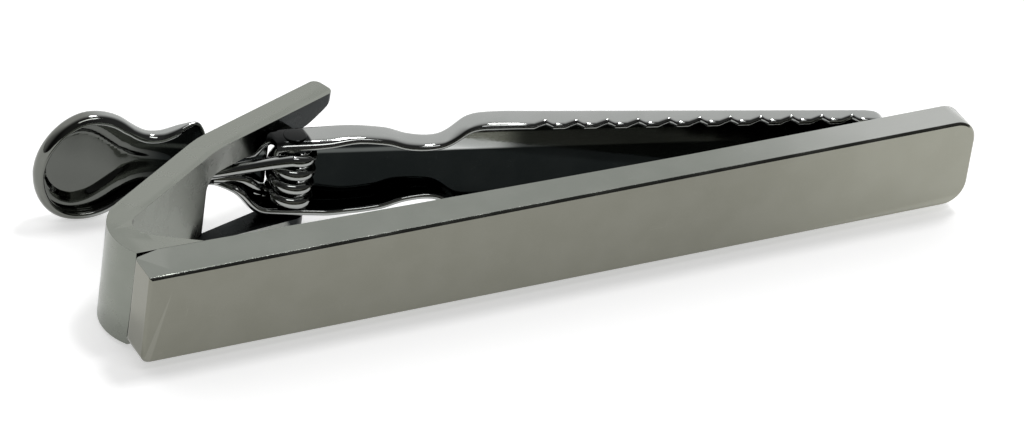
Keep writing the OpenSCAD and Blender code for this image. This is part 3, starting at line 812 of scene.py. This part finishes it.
lug_back = knee_in + tail_dir * (KNEE_X - knee_in.x) / tail_dir.x
lug_front = lug_back - rise_dir * LUG_ROOT
back_dir = (PIN - lug_back).normalized()
front_dir = (PIN - lug_front).normalized()
root = rise_out * LUG_SUNK
low_lug = add_lug("low_lug", [lug_front + root, lug_back + root, lug_back]
                  + tangent_arc(Vector((-back_dir.y, back_dir.x)),
                                Vector((front_dir.y, -front_dir.x)))
                  + [lug_front], ARM_LOW, LOW_LUG_TOP)
foot = PIN + tail_out * TOP_LUG_ROOT
top_lug = add_lug("top_lug", [foot - tail_dir * LUG_RADIUS, foot + tail_dir * LUG_RADIUS]
                  + tangent_arc(tail_dir, -tail_dir), *LUG_TOP)
cut(arm, low_lug, "UNION")
cut(arm, top_lug, "UNION")
smooth(arm, 30)
apply_modifier(arm, "WEIGHTED_NORMAL", keep_sharp=True)
dress(arm, "bar", "satin_arm", "fork_arm", ARM_METAL)

# %% [markdown]
# ## Pivot pin
# The pin is a short rod with its two ends hammered over. It starts as a cylinder, and each end
# face is widened with extrude and resize, extruded again for the head's height, and bevelled
# until it is domed.

# %% Pivot pin
PIN_RADIUS, HEAD_RADIUS, HEAD_HEIGHT = 0.5, 0.7, 0.1
PIN_TOP, HEAD_BEVEL = 2.66, 0.09


def add_pin():
    """Models the riveted pin."""
    height = (PIN_TOP - ARM_LOW) * MM
    pin = first_shape("hinge_pin", bpy.ops.mesh.primitive_cylinder_add, vertices=48,
                      radius=PIN_RADIUS * MM, depth=height,
                      location=(PIN.x * MM, PIN.y * MM, ARM_LOW * MM + height / 2))
    bpy.ops.object.mode_set(mode="EDIT")
    for side, z in ((1, PIN_TOP), (-1, ARM_LOW)):
        pick(pin, "FACE", lambda f: f.normal.z * side > 0.9
             and near(f.calc_center_median().z / MM, z))
        push((0, 0, 0))
        wide = HEAD_RADIUS / PIN_RADIUS
        bpy.ops.transform.resize(value=(wide, wide, 1),
                                 center_override=(PIN.x * MM, PIN.y * MM, z * MM))
        push((0, 0, side * HEAD_HEIGHT * MM))
        pick(pin, "EDGE", lambda e: along(e, 2, z + side * HEAD_HEIGHT))
        bpy.ops.mesh.bevel(offset=HEAD_BEVEL * MM, segments=5, affect="EDGES")
    bpy.ops.object.mode_set(mode="OBJECT")
    smooth(pin, 35)
    return pin


pin = add_pin()
dress(pin, "bar", "pin_metal", "pivot_pin", SHADED_PIN_METAL)

# %% [markdown]
# ## Torsion spring
# The coil is a small circle that the Screw modifier winds round the pin. Its two legs are wires
# of their own, because one leans on the arm and the other one turns with the lever.

# %% Coil
LEVER_ANGLE = math.radians(14.0074)
EAR_IN = 2.25
WIRE, COIL = 0.38, 1.1
COIL_LOW, COIL_HIGH = -EAR_IN + WIRE + 0.02, LUG_TOP[0] - WIRE - 0.01
LEVER_LEG, ARM_LEG = 105.1, -100.9
WHOLE_TURNS, COIL_STEPS, RING = 3, 150, 14
SWEEP = LEVER_LEG - ARM_LEG + WHOLE_TURNS * 360


def set_in_lever(piece):
    """Moves a piece that was modelled in the lever's own directions to its place."""
    use_only(piece)
    piece.rotation_euler = (0, 0, -LEVER_ANGLE)
    piece.location = (PIN.x * MM, PIN.y * MM, 0)
    bpy.ops.object.transform_apply()


def add_coil():
    """Winds the coil from its top end to its bottom end."""
    coil = first_shape("spring_coil", bpy.ops.mesh.primitive_circle_add, vertices=RING,
                       radius=WIRE * MM, location=(COIL * MM, 0, COIL_HIGH * MM),
                       rotation=(math.pi / 2, 0, 0))
    apply_modifier(coil, "SCREW", angle=math.radians(SWEEP), iterations=1, steps=COIL_STEPS,
                   render_steps=COIL_STEPS, screw_offset=(COIL_LOW - COIL_HIGH) * MM)
    coil.rotation_euler = (0, 0, math.radians(ARM_LEG))
    bpy.ops.object.transform_apply()
    return coil


def close_wire(wire):
    """Fills a wire's two open ends and turns its faces outwards."""
    use_only(wire)
    bpy.ops.object.mode_set(mode="EDIT")
    pick(wire, "EDGE", lambda e: e.is_boundary)
    bpy.ops.mesh.fill_holes(sides=RING)
    bpy.ops.mesh.select_all(action="SELECT")
    bpy.ops.mesh.normals_make_consistent(inside=False)
    bpy.ops.object.mode_set(mode="OBJECT")
    smooth(wire, 50)


coil = add_coil()
close_wire(coil)
set_in_lever(coil)
print("coil heights:", [round(coil.bound_box[k][2] / MM, 2) for k in (0, 1)])
dress(coil, None, "spring_wire", "torsion_spring", WIRE_METAL)
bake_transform(coil)


# %% Legs of the spring
def add_leg(name, path):
    """Runs a wire through points in mm, as a curve with a round section made a mesh."""
    leg = first_shape(name, bpy.ops.curve.primitive_nurbs_path_add, radius=MM)
    curve = leg.data
    curve.splines.clear()
    spline = curve.splines.new("NURBS")
    spline.points.add(len(path) - 1)
    for point, place in zip(spline.points, path):
        point.co = (*(Vector(place) * MM), 1)
    spline.order_u = 3
    spline.use_endpoint_u = True
    curve.resolution_u = 12
    curve.bevel_depth = WIRE * MM
    curve.bevel_resolution = 5
    curve.use_fill_caps = True
    use_only(leg)
    bpy.ops.object.convert(target="MESH")
    smooth(leg, 50)
    return leg


def on_coil(angle, z):
    """A point of the coil's middle line."""
    return Vector((COIL * math.cos(math.radians(angle)), COIL * math.sin(math.radians(angle)), z))


def tangent_point(angle, turn, x, z):
    """A point at a place x on the line that leaves the coil at an angle."""
    start = on_coil(angle, z)
    slope = math.tan(math.radians(angle + turn))
    return Vector((x, start.y + (x - start.x) * slope, z))


low_start = on_coil(LEVER_LEG, COIL_LOW)
low_leg = add_leg("spring_leg_lever", [
    low_start, tangent_point(LEVER_LEG, 90, -0.75, COIL_LOW + 0.05), Vector((-1.35, 0.6, -1.5)),
    Vector((-1.9, 0.3, -1.1)), Vector((-2.5, 0.2, -0.62)), Vector((-3.1, 0.17, -0.28)),
    Vector((-4.6, 0.17, -0.27))])
top_start = on_coil(ARM_LEG, COIL_HIGH)
top_leg = add_leg("spring_leg_arm", [
    top_start, tangent_point(ARM_LEG, -90, -0.7, COIL_HIGH - 0.06),
    tangent_point(ARM_LEG, -90, -3.1, 0.86), tangent_point(ARM_LEG, -90, -4.2, 0.5),
    tangent_point(ARM_LEG, -90, -5.0, 0.28), tangent_point(ARM_LEG, -90, -5.6, 0.26)])
for leg, body in ((low_leg, "lever"), (top_leg, "bar")):
    set_in_lever(leg)
    dress(leg, body, "spring_wire", "torsion_spring", WIRE_METAL)

# %% [markdown]
# ## Clasp lever
# The lever is pressed from one thin sheet: a web with walls all round it, like a narrow tray
# that opens to the front. It has a dished thumb pad, a neck, a waist that passes between the
# prongs, two ears on the pin and a long jaw with teeth. A grid is laid over the whole tray.
# Each of its rows is moved to one place along the lever's outline, from the pad's far end to
# the jaw's tip, and each row then runs down one wall, across the web and up the other wall.
# The sheet's thickness and its round rims are worked out square to that surface, because the
# Solidify modifier folds over itself at the teeth. Bridge then closes the walls of the window.

# %% Outline of the lever
SHEET = 0.4
PAD_X, PAD_L, PAD_R, PAD_H = -11.95, 3.26, 3.6, 3.72
JAW_L, TIP_HALF, TIP_ROUND = 36.55, 2.7, 1.05
WEB_BACK = 1.03
PAD_END, NECK_START, NECK_END, ROW_STEP = -9.75, -9.65, 12.9, 0.18
JAW_START, JAW_HALF = 12.61, 3.5
HALF_ROWS = [
    (-9.75, 2.85), (-9.3, 2.56), (-8.9, 2.3), (-8.35, 2.05), (-7.7, 2.08), (-7.1, 2.33),
    (-6.5, 2.6), (-5.9, 2.72), (-5.2, 2.72), (-4.75, 1.05), (-3.5, 1.05), (-2.37, 2.2),
    (-1.6, 2.65), (1.28, 2.75), (3.11, 2.84), (5.59, 2.6), (6.94, 2.15), (8.11, 2.02),
    (8.85, 2.08), (9.58, 2.5), (10.42, 3.25), (11.33, 3.47), (12.61, 3.5)]
DEPTH_ROWS = [
    (-9.8, 1.25), (-8.4, 1.15), (-7.39, 1.1), (-6.7, 1.02), (-6.1, 0.72), (-5.49, 0.44),
    (-5.0, 0.44), (-4.6, 1.5), (-4.0, 1.85), (-3.2, 2.08), (0.51, 2.08), (2.01, 2.05),
    (3.98, 1.75), (6.29, 1.7), (8.7, 1.5), (10.02, 1.6), (11.51, 1.7), (13.01, 1.75),
    (JAW_L, 1.25)]
BACK_ROWS = [
    (-15.3, 1.48), (-12.0, 2.0), (-8.6, 2.2), (-6.6, 2.0), (-5.3, 1.78), (-4.1, 1.4),
    (-3.5, 1.13), (-3.1, WEB_BACK), (6.2, WEB_BACK), (8.3, 0.95), (10.3, WEB_BACK),
    (JAW_L, WEB_BACK)]
CURL_ROWS = [(-15.3, 0.9), (-5.3, 0.9), (2.4, 0.5), (4.5, 0.32), (12.0, 0.32), (14.0, 0.2),
             (JAW_L, 0.2)]
UPPER_HALF = [(-4.75, 1.05), (-2.75, 1.12), (-2.3, 1.45), (-1.95, 2.2), (-1.6, 2.6), (-1.2, 2.65)]
UPPER_DEPTH = [(-5.0, 0.44), (-4.6, 0.5), (-3.6, 0.46), (-3.0, 0.62), (-2.4, 0.9), (-1.75, 1.15),
               (-1.42, 1.28), (-1.15, 2.08)]
UPPER_END = -1.0
BEND_ROWS = [(-15.3, 0.42), (-5.3, 0.42), (14.0, 0.4), (JAW_L, 0.35)]
HOLLOW_ROWS = [(-14.75, 0.0), (-14.6, 0.85), (-14.0, 1.9), (-13.3, 2.45), (-12.65, 2.66),
               (-11.9, 2.55), (-11.2, 2.2), (-10.5, 1.65), (-9.8, 1.1), (-9.0, 0.7),
               (-8.0, 0.5), (-6.5, 0.35)]
HOLLOW_DEPTH, HOLLOW_MIDDLE, HOLLOW_EDGE = 0.4, -12.65, 0.8
NECK_FLAT, NECK_FADE = -6.0, 3.5


def slope_at(rows, i):
    """Slope of a table at a row, which keeps its curve within its rows."""
    if i <= 0 or i >= len(rows) - 1:
        return 0.0
    before = (rows[i][1] - rows[i - 1][1]) / (rows[i][0] - rows[i - 1][0])
    after = (rows[i + 1][1] - rows[i][1]) / (rows[i + 1][0] - rows[i][0])
    return 2 * before * after / (before + after) if before * after > 0 else 0.0


def curve_at(rows, x):
    """Value of a table of (place, value) rows, on a smooth curve."""
    if x <= rows[0][0]:
        return rows[0][1]
    if x >= rows[-1][0]:
        return rows[-1][1]
    i = max(k for k in range(len(rows) - 1) if rows[k][0] <= x)
    width = rows[i + 1][0] - rows[i][0]
    f = (x - rows[i][0]) / width
    g = 1 - f
    return (rows[i][1] * (1 + 2 * f) * g * g + slope_at(rows, i) * width * f * g * g
            + rows[i + 1][1] * (1 + 2 * g) * f * f - slope_at(rows, i + 1) * width * g * f * f)


# %% Teeth and stations
TOOTH_COUNT, TOOTH_PITCH, TOOTH_START = 11, 1.92, 14.3
TOOTH_WIDTH, TOOTH_DEPTH, TOOTH_LEAN = 1.15, 0.42, 0.7


def tooth_cut(x):
    """How deep the jaw's edge is notched at a place."""
    along_tooth = x - TOOTH_START
    number = math.floor(along_tooth / TOOTH_PITCH + 1e-6)
    if not 0 <= number < TOOTH_COUNT:
        return 0.0
    share = (along_tooth - number * TOOTH_PITCH) / TOOTH_WIDTH
    if share >= 1:
        return 0.0
    return TOOTH_DEPTH * min(share / TOOTH_LEAN, (1 - share) / (1 - TOOTH_LEAN))


def outline():
    """Points of the lever's upper outline, from the pad's far end to the tip."""
    points = []
    for i in range(31):
        a = math.radians(180 - 4.5 * i)
        reach = PAD_L if math.cos(a) < 0 else PAD_R
        points.append((PAD_X + reach * math.cos(a), PAD_H * math.sin(a)))
    points = [p for p in points if p[0] < PAD_END]
    x = NECK_START
    while x < NECK_END:
        points.append((x, curve_at(HALF_ROWS, x)))
        x += ROW_STEP
    points = soften(points, 3)
    shares = (0, 0.35, TOOTH_LEAN, 0.85, 1.0, 1.3)
    for number in range(TOOTH_COUNT):
        for share in shares:
            place = TOOTH_START + number * TOOTH_PITCH + share * TOOTH_WIDTH
            points.append((place, jaw_half(place)))
    points.append((JAW_L - TIP_ROUND - 0.3, jaw_half(JAW_L - TIP_ROUND - 0.3)))
    for i in range(9):
        a = math.radians(87.5 * (1 - i / 8))
        points.append((JAW_L - TIP_ROUND + TIP_ROUND * math.cos(a),
                       TIP_HALF - TIP_ROUND + TIP_ROUND * math.sin(a)))
    return points + [(JAW_L, 0.7), (JAW_L, 0.0)]


def jaw_half(x):
    """Half height of the jaw, which narrows straight to its tip."""
    return JAW_HALF + (TIP_HALF - JAW_HALF) * (x - JAW_START) / (JAW_L - JAW_START)


def soften(points, passes):
    """Rounds the small corners of an outline."""
    for _ in range(passes):
        inner = [((a[0] + 2 * b[0] + c[0]) / 4, (a[1] + 2 * b[1] + c[1]) / 4)
                 for a, b, c in zip(points, points[1:], points[2:])]
        points = [points[0]] + inner + [points[-1]]
    return points


stations = outline()
print("stations:", len(stations))

# %% Rows of the grid
CURL_STEPS, BEND_STEPS, WEB_STEPS, RIM_STEPS = 5, 5, 44, 6


def inward(points, i):
    """Direction to the inside of the outline: square to it round the pad and the tip."""
    if i == 0:
        return Vector((1, 0))
    if i == len(points) - 1:
        return Vector((-1, 0))
    if -9.6 < points[i][0] < JAW_L - TIP_ROUND - 0.1:
        return Vector((0, -1))
    before, after = Vector(points[i - 1]), Vector(points[i + 1])
    way = (after - before).normalized()
    return Vector((way.y, -way.x))


def dish(x, w):
    """How far the floor is pressed back: a thumb hollow that runs out into the neck."""
    if x > NECK_FLAT:
        return 0.0
    inside = min(1.0, max(0.0, (curve_at(HOLLOW_ROWS, x) - abs(w) + 0.3) / HOLLOW_EDGE))
    share = min(1.0, (NECK_FLAT - x) / NECK_FADE)
    bowl = 0.75 + 0.25 * max(0.0, 1 - (x - HOLLOW_MIDDLE) ** 2 / 6 - w * w / 7)
    return HOLLOW_DEPTH * share * bowl * inside * inside * (3 - 2 * inside)


def wall(place, way, front, drop):
    """The upper wall's points, from its front edge, which curls in a little, to the bend."""
    curl = curve_at(CURL_ROWS, place.x) * drop
    points = []
    for step in range(CURL_STEPS + 1):
        a = math.radians(30 + 60 * step / CURL_STEPS)
        at = place + way * curl * (1 - math.sin(a))
        ahead = front + drop * (math.cos(math.radians(30)) - math.cos(a))
        points.append((at.x, ahead, max(at.y, 0.0)))
    return points


def side(place, way, depth):
    """One side of a row: its wall and the bend into the web."""
    back = curve_at(BACK_ROWS, place.x)
    bend = min(curve_at(BEND_ROWS, place.x), 0.65 * (depth - SHEET / 2))
    front = back - depth + SHEET / 2 + tooth_cut(place.x)
    row = wall(place, way, front, min(0.5 * depth, 0.9, (back - bend - front) / 0.88))
    for step in range(BEND_STEPS + 1):
        a = math.radians(90 * step / BEND_STEPS)
        at = place + way * bend * (1 - math.cos(a))
        row.append((at.x, curve_at(BACK_ROWS, at.x) - bend * (1 - math.sin(a)),
                    max(at.y, 0.0)))
    return row


def grid_row(points, i):
    """One row: down the upper wall, across the web and up the lower wall."""
    place, way = Vector(points[i]), inward(points, i)
    depth = curve_at(DEPTH_ROWS, place.x)
    lower = side(place, way, depth)
    if UPPER_DEPTH[0][0] < place.x < UPPER_END:
        if place.x > UPPER_HALF[0][0]:
            place = Vector((place.x, curve_at(UPPER_HALF, place.x)))
        depth = curve_at(UPPER_DEPTH, place.x)
    upper = side(place, way, depth)
    (x, y, top), low = upper[-1], -lower[-1][2]
    web = []
    for step in range(1, WEB_STEPS):
        w = top + (low - top) * step / WEB_STEPS
        web.append((x, y + dish(x, w), w))
    return upper + web + [(x, y, -z) for x, y, z in reversed(lower)]


grid = [[Vector(p) for p in grid_row(stations, i)] for i in range(len(stations))]
print("rows:", len(grid), "by", len(grid[0]))


# %% Thickness of the sheet
def sheet_normal(i, k):
    """The direction into the tray at a point, square to the sheet."""
    before, after = max(i - 1, 0), min(i + 1, len(grid) - 1)
    first, last = max(k - 1, 0), min(k + 1, len(grid[0]) - 1)
    onward = grid[after][k] - grid[before][k]
    if i in (0, len(grid) - 1):
        onward = Vector((0, 0, -1 if i else 1))
        if k > len(grid[0]) // 2:
            k = len(grid[0]) - 1 - k
            first, last = max(k - 1, 0), min(k + 1, len(grid[0]) - 1)
    square = (grid[i][last] - grid[i][first]).cross(onward)
    return square.normalized() if square.length > 0.0005 else Vector((0, -1, 0))


def rim(point, normal, outward):
    """The round rim between the sheet's outer and inner side."""
    middle = point + normal * SHEET / 2
    angles = [math.pi * step / RIM_STEPS for step in range(1, RIM_STEPS)]
    return [middle - (normal * math.cos(a) - outward * math.sin(a)) * SHEET / 2 for a in angles]


def closed_row(i):
    """A row as a loop: the outer side down, a rim, the inner side up, and the other rim."""
    outer = grid[i]
    normals = [sheet_normal(i, k) for k in range(len(outer))]
    inner = [p + n * SHEET for p, n in zip(outer, normals)]
    top = (outer[0] - outer[1]).normalized()
    low = (outer[-1] - outer[-2]).normalized()
    return (outer + rim(outer[-1], normals[-1], low) + inner[::-1]
            + rim(outer[0], normals[0], top)[::-1] + [outer[0]])


print("web faces the bar:", sheet_normal(len(grid) // 2, len(grid[0]) // 2).y < 0)
loops = [closed_row(i) for i in range(len(grid))]


# %% Press the sheet
WINDOW_LEFT, WINDOW_RIGHT, WINDOW_MARGIN = -1.32, 1.42, 0.6
SLOT_LEFT, SLOT_LOW, SLOT_HIGH = -2.0, -1.9, -1.0


def in_window(row, across):
    """Whether a cell of the grid lies in the coil's window, or in the slot for its lower leg."""
    at = (grid[row][across] + grid[row + 1][across + 1]) / 2
    in_slot = SLOT_LEFT < at.x <= WINDOW_LEFT and SLOT_LOW < at.z < SLOT_HIGH
    if not (in_slot or WINDOW_LEFT < at.x < WINDOW_RIGHT):
        return False
    return abs(at.z) < curve_at(HALF_ROWS, at.x) - WINDOW_MARGIN and at.y > WEB_BACK - 0.05


def add_lever():
    """Lays a grid, moves its rows onto the lever's shape, cuts the window, merges the seam."""
    rows, columns, side_count = len(loops), len(loops[0]), len(grid[0])
    lever = first_shape("lever", bpy.ops.mesh.primitive_grid_add, x_subdivisions=columns - 1,
                        y_subdivisions=rows - 1, size=10 * MM)
    for i, loop in enumerate(loops):
        for k, place in enumerate(loop):
            lever.data.vertices[i * columns + k].co = place * MM
    lever.data.materials.append(LEVER_METAL)
    lever.data.materials.append(SHADED_TRAY_METAL)
    inner_start = side_count + RIM_STEPS - 1
    window = set()
    for index, face in enumerate(lever.data.polygons):
        row, column = divmod(index, columns - 1)
        inner = inner_start <= column < inner_start + side_count - 1
        # The inner side of the sheet takes the tray plating, which is painted nearly black as
        # shade.
        face.material_index = int(inner)
        across = side_count - 2 - (column - inner_start) if inner else column
        if across < side_count - 1 and in_window(row, across):
            window.add(index)
    bpy.ops.object.mode_set(mode="EDIT")
    print("window faces:", pick(lever, "FACE", lambda f: f.index in window))
    bpy.ops.mesh.delete(type="FACE")
    bpy.ops.mesh.select_all(action="SELECT")
    bpy.ops.mesh.remove_doubles(threshold=0.004 * MM)
    bpy.ops.mesh.normals_make_consistent(inside=False)
    bpy.ops.object.mode_set(mode="OBJECT")
    return lever


lever = add_lever()
bpy.ops.object.mode_set(mode="EDIT")
print("window edges:", pick(lever, "EDGE", lambda e: e.is_boundary))
bpy.ops.mesh.bridge_edge_loops()
bpy.ops.mesh.select_all(action="SELECT")
bpy.ops.mesh.normals_make_consistent(inside=False)
print("open edges left:", pick(lever, "EDGE", lambda e: not e.is_manifold))
bpy.ops.object.mode_set(mode="OBJECT")
smooth(lever, 40)
set_in_lever(lever)
dress(lever, "lever", "lever_metal", "clasp_lever", LEVER_METAL, SHADED_TRAY_METAL)
